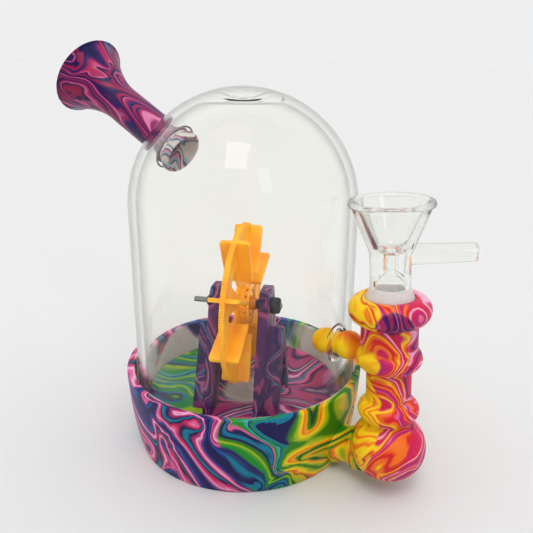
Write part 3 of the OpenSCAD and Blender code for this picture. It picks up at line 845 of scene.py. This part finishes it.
def build_wheel():
    # Degrees round the axle
    count, first, between = 8, 112, 45
    at_disc = ON_AXLE @ Matrix.Translation((0, 0, WHEEL_S))
    rim = toothed("rim", 27.6, 25.5, -0.85, 0.85, 190, 0.32, at_disc)
    plate = [(5.0, -0.5), (25.6, -0.5), (25.6, 0.5), (5.0, 0.5)]
    web = lathe("web", dense(plate, 1.5), at_disc, 160)
    # A narrow window in the web between each two paddles
    window_in, window_out, half = 10, 20, 0.157
    for i in range(count):
        a = math.radians(first + (i + 0.5) * between)
        corners = [(window_in, -half), (window_out, -half), (window_out, -0.08), (window_out, 0),
                   (window_out, 0.08), (window_out, half), (window_in, half), (window_in, 0)]
        outline = [(r * math.cos(a + d), r * math.sin(a + d)) for r, d in corners]
        combine(web, slab("cut", outline, -2, 2, at_disc), "DIFFERENCE")
    disc = join("wheel_rim_and_web", [rim, web])
    finish_piece(disc, AMBER, "wheel", "wheel_plastic", "wheel_disc")
    blade = rounded([(10.4, -4.6, 0), (27.0, -5.0, 1.1), (27.0, 5.0, 1.1), (10.4, 4.6, 0),
                     (10.4, -4.6, 0)], 6)[:-1]
    thick = 1.44
    for i in range(count):
        at_blade = at_disc @ Matrix.Rotation(math.radians(first + i * between), 4, "Z")
        at_blade = at_blade @ Matrix.Rotation(math.pi / 2, 4, "X")
        paddle = slab(f"paddle_blade_{i + 1}", blade, -thick / 2, thick / 2, at_blade)
        bevel(paddle, 0.3, 3, 50)
        finish_piece(paddle, AMBER, "wheel", "wheel_plastic", f"paddle_{i + 1}")
    # Lantern drum: a toothed flange, an open ring and crossed bars between them
    parts = [toothed("flange_a", 6.7, 1.9, -0.2, 0.6, 56, 0.25, ON_AXLE),
             toothed("flange_b", 6.4, 5.1, 2.2, 2.8, 56, 0.2, ON_AXLE)]
    bars, bar_r, bars_at, lean, bar_low, bar_high = 12, 0.26, 5.7, 0.26, 0.4, 2.4
    for i in range(bars):
        a = TAU * i / bars
        for way in (-lean, lean):
            p0 = Vector((bars_at * math.cos(a - way), bars_at * math.sin(a - way), bar_low))
            p1 = Vector((bars_at * math.cos(a + way), bars_at * math.sin(a + way), bar_high))
            at_bar = (p1 - p0).to_track_quat("Z", "Y").to_matrix().to_4x4()
            at_bar.translation = p0
            long = (p1 - p0).length
            parts.append(lathe("bar", [(0, 0), (bar_r, 0), (bar_r, long), (0, long)], ON_AXLE @ at_bar, 12))
    drum = join("wheel_lantern", parts)
    tube = rounded([(1.05, WHEEL_S - 2.05, 0), (4.2, WHEEL_S - 2.05, 0.5), (4.4, WHEEL_S - 0.4, 0.1),
                    (4.9, WHEEL_S + 0.5, 0.1), (2.3, WHEEL_S + 0.7, 0.3), (2.1, 4.3, 0.25), (1.05, 4.3, 0)])
    bush = lathe("wheel_bush", tube, ON_AXLE, 64)
    finish_piece(drum, AMBER, "wheel", "wheel_plastic")
    finish_piece(bush, OCHRE, "wheel", "wheel_plastic", "wheel_hub")


def build_axle():
    rod = rounded([(0, -18, 0), (0.98, -18, 0.2), (0.98, 13.2, 0.45), (0, 13.6, 0)])
    axle = lathe("axle_rod", rod, ON_AXLE, 48)
    flat = make("flat", [(x, y, z) for z in (-19, -13) for x, y in ((0.65, -2), (3, -2), (3, 2), (0.65, 2))],
                [[0, 1, 2, 3], [7, 6, 5, 4], [0, 1, 5, 4], [1, 2, 6, 5], [2, 3, 7, 6], [3, 0, 4, 7]], ON_AXLE)
    combine(axle, flat, "DIFFERENCE")
    smooth(axle, 30)
    finish_piece(axle, STEEL, "base", "steel", "axle")
    # The posts' outer faces, along the axle
    out_left, out_right = WHEEL_S - 10.3, WHEEL_S + 10.3
    stop = rounded([(1.0, out_left, 0), (2.2, out_left, 0.2), (2.15, out_left - 1.5, 0.7),
                    (1.5, out_left - 2.2, 0.4), (1.0, out_left - 2.2, 0)])
    finish_piece(lathe("left_nut", stop, ON_AXLE, 48), RUBBER, "base", "black_rubber", "nut_left")
    # The right stop has six grooves. Radius, height and depth of groove at each level
    levels = [(1.0, 0, 0), (2.7, 0, 0), (2.9, 0.25, 0), (2.9, 0.8, 0.12), (2.85, 1.6, 0.5), (2.8, 2.5, 0.55),
              (2.5, 3.0, 0.5), (2.0, 3.2, 0.3), (1.0, 3.2, 0)]
    segs, grooves = 96, 6
    verts, faces, rows = [], [], []
    for r, z, deep in levels:
        rows.append(len(verts))
        for i in range(segs):
            a = TAU * i / segs
            cut = r - deep * max(0.0, math.cos(grooves * a)) ** 2
            verts.append((cut * math.cos(a), cut * math.sin(a), out_right + z))
    for a, b in zip(rows, rows[1:] + rows[:1]):
        faces += [[a + i, a + (i + 1) % segs, b + (i + 1) % segs, b + i] for i in range(segs)]
    right = make("right_nut", verts, faces, ON_AXLE, 50)
    finish_piece(right, RUBBER, "base", "black_rubber", "nut_right")
    ring = rounded([(1.0, 4.45, 0), (1.75, 4.45, 0.4), (1.8, 6.3, 0.3), (1.0, 6.3, 0)])
    finish_piece(lathe("right_washer", ring, ON_AXLE, 40), RUBBER, "base", "black_rubber", "washer_right")
    ring = rounded([(1.0, -7.7, 0), (1.9, -7.7, 0.3), (1.95, -2.95, 0.3), (1.0, -2.95, 0)])
    finish_piece(lathe("left_spacer", ring, ON_AXLE, 40), RUBBER, "base", "black_rubber", "spacer_left")


# ---------------------------------------------------------------- mouthpiece

def build_mouthpiece():
    tube_r, mouth_r, bore_r, flare_from, flare_to = 6.5, 14.3, 4.2, 62, 81.4

    def bell(u):
        """The outside radius at a place along the mouthpiece."""
        return tube_r + (mouth_r - tube_r) * max(0.0, (u - flare_from) / (flare_to - flare_from)) ** 1.8

    outer = [(7.0, 39.5), (6.95, 40.0), (6.7, 41.5), (tube_r, 43.5)]
    outer += [(bell(u), u) for u in [44 + 36.6 * i / 44 for i in range(45)]]
    lip = arc(13.55, 80.75, 0.72, 10, 150, 8)
    inner = [(max(bore_r, bell(u) - 1.9), u) for u in [80.2 - 22 * i / 30 for i in range(31)]]
    inner += [(bore_r, 56), (bore_r, 39.5)]
    horn = lathe("mouthpiece_tube", outer + lip + dense(inner, 1.5), ON_MOUTH, 160, 60)
    finish_piece(horn, MOUTH_MAT, "mouthpiece", "mouthpiece_silicone", "mouthpiece_horn")
    # The seal: a bulb inside the glass, a neck in the hole and a flange outside
    mouth = [(bore_r, 36.5), (5.2, 33.6), (6.6, 30.5), (6.85, 30.0), (7.15, 29.9), (7.5, 30.15)]
    bulb = arc(6.2, 31.8, 1.95, -35, 55, 8)
    neck = rounded([(7.0, 33.55, 0), (6.35, 34.0, 0.3), (6.35, 37.9, 0.3), (8.1, 38.0, 0.2),
                    (8.05, 38.9, 0.5), (7.2, 39.5, 0.3), (bore_r, 39.5, 0)])
    grommet = lathe("mouthpiece_seal", dense(mouth + bulb + neck, 0.8), ON_MOUTH, 112, 50)
    finish_piece(grommet, GROMMET_MAT, "mouthpiece", "mouthpiece_silicone", "mouthpiece_grommet")


build_cup()
build_floor()
build_post("left_post", -1, "post_left")
build_post("right_post", 1, "post_right")
build_arm()
build_stem()
build_plug()
build_dome()
build_bowl()
build_wheel()
build_axle()
build_mouthpiece()


# ---------------------------------------------------------------- floor, lights and camera

def build_stage():
    ring = [(0, 0)] + [(0.12 * 1.6 ** i, 0) for i in range(9)]
    segs = 96
    verts, rows = [], []
    for r, z in ring:
        if r == 0:
            rows.append([0] * segs)
            verts.append((0, 0, 0))
            continue
        rows.append(list(range(len(verts), len(verts) + segs)))
        verts += [(r * math.cos(TAU * i / segs), r * math.sin(TAU * i / segs), z) for i in range(segs)]
    faces = []
    for a, b in zip(rows, rows[1:]):
        for i in range(segs):
            loop = []
            for v in (a[i], b[i], b[(i + 1) % segs], a[(i + 1) % segs]):
                if v not in loop:
                    loop.append(v)
            faces.append(loop)
    mesh = bpy.data.meshes.new("stage_floor")
    mesh.from_pydata(verts, [], faces)
    floor = bpy.data.objects.new("stage_floor", mesh)
    bpy.context.scene.collection.objects.link(floor)
    t = Tree("stage_paper")
    t.set(Base_Color=(0.674, 0.674, 0.674, 1), Roughness=0.9)
    t.bsdf.inputs["Specular IOR Level"].default_value = 0.0
    mesh.materials.append(t.mat)


def build_light():
    world = bpy.data.worlds.new("studio")
    bpy.context.scene.world = world
    world.use_nodes = True
    t = world.node_tree
    way = t.nodes.new("ShaderNodeTexCoord").outputs["Generated"]

    def maths(op, a, b):
        n = t.nodes.new("ShaderNodeMath")
        n.operation = op
        for socket, v in zip(n.inputs, (a, b)):
            if isinstance(v, bpy.types.NodeSocket):
                t.links.new(v, socket)
            else:
                socket.default_value = v
        return n.outputs[0]

    def towards(axis, low, high, start, end, both=False):
        """A factor that goes from start to end as the direction turns towards an axis."""
        dot = t.nodes.new("ShaderNodeVectorMath")
        dot.operation = "DOT_PRODUCT"
        dot.inputs[1].default_value = Vector(axis).normalized()
        t.links.new(way, dot.inputs[0])
        along = maths("ABSOLUTE", dot.outputs["Value"], 0.0) if both else dot.outputs["Value"]
        ramp = t.nodes.new("ShaderNodeMapRange")
        ramp.interpolation_type = "SMOOTHSTEP"
        for name, value in (("From Min", low), ("From Max", high), ("To Min", start), ("To Max", end)):
            ramp.inputs[name].default_value = value
        t.links.new(along, ramp.inputs["Value"])
        return ramp.outputs["Result"]

    def window(direction, wide, high, strength):
        """A softbox far away in one direction, half this wide and high."""
        d = Vector(direction).normalized()
        side = d.cross(Vector((0, 0, 1))).normalized()
        up = side.cross(d)
        mask = maths("MULTIPLY", towards(side, wide, wide * 1.06, 1.0, 0.0, True),
                     towards(up, high, high * 1.06, 1.0, 0.0, True))
        return maths("MULTIPLY", maths("MULTIPLY", mask, towards(d, 0.0, 0.1, 0.0, 1.0)), strength)

    # Pale walls all round with a grey card far out on each side, a brighter ceiling, then a darker
    # room on the near side, and two softboxes
    level = maths("MULTIPLY", towards(ACROSS, 0.82, 0.97, 1.0, 0.6, True),
                  towards((0, 0, 1), 0.4, 0.9, 1.0, 1.3))
    level = maths("MULTIPLY", level, towards((0.57, -0.82, -0.1), 0.15, 0.75, 1.0, 0.3))
    level = maths("ADD", level, window((0.23, -0.464, 0.856), 0.16, 0.22, 7.5))
    level = maths("ADD", level, window((0.80, -0.45, 0.62), 0.09, 0.20, 4.0))
    # Seen straight or through glass, the backdrop is plain. Only what lights the object and is
    # mirrored in it varies
    path = t.nodes.new("ShaderNodeLightPath")
    straight = maths("MAXIMUM", path.outputs["Is Camera Ray"], path.outputs["Is Transmission Ray"])
    shown = maths("ADD", maths("MULTIPLY", level, maths("SUBTRACT", 1.0, straight)), straight)
    t.links.new(shown, t.nodes["Background"].inputs["Strength"])
    t.nodes["Background"].inputs["Color"].default_value = (0.863, 0.863, 0.863, 1)
    fill = bpy.data.lights.new("ceiling_fill", "SUN")
    fill.energy, fill.angle = 0.3, math.radians(60)
    obj = bpy.data.objects.new("ceiling_fill", fill)
    obj.rotation_euler = (math.radians(14), math.radians(6), 0)
    obj.visible_glossy = obj.visible_transmission = False
    bpy.context.scene.collection.objects.link(obj)


def build_camera():
    data = bpy.data.cameras.new("camera")
    data.sensor_width, data.lens = 36, 42.97
    cam = bpy.data.objects.new("camera", data)
    bpy.context.scene.collection.objects.link(cam)
    forward = Vector((-0.5417, 0.7736, -0.3289)).normalized()
    right = forward.cross(Vector((0, 0, 1))).normalized()
    up = right.cross(forward)
    roll = math.radians(0.427)
    right, up = math.cos(roll) * right + math.sin(roll) * up, math.cos(roll) * up - math.sin(roll) * right
    cam.matrix_world = place((0.12364, -0.16328, 0.13454), right, up, -forward)
    bpy.context.scene.camera = cam


build_stage()
build_light()
build_camera()
bpy.context.scene.view_settings.view_transform = "Standard"
# Light turns many times inside thick glass
bpy.context.scene.cycles.max_bounces = 28
bpy.context.scene.cycles.glossy_bounces = 16
bpy.context.scene.cycles.transmission_bounces = 24
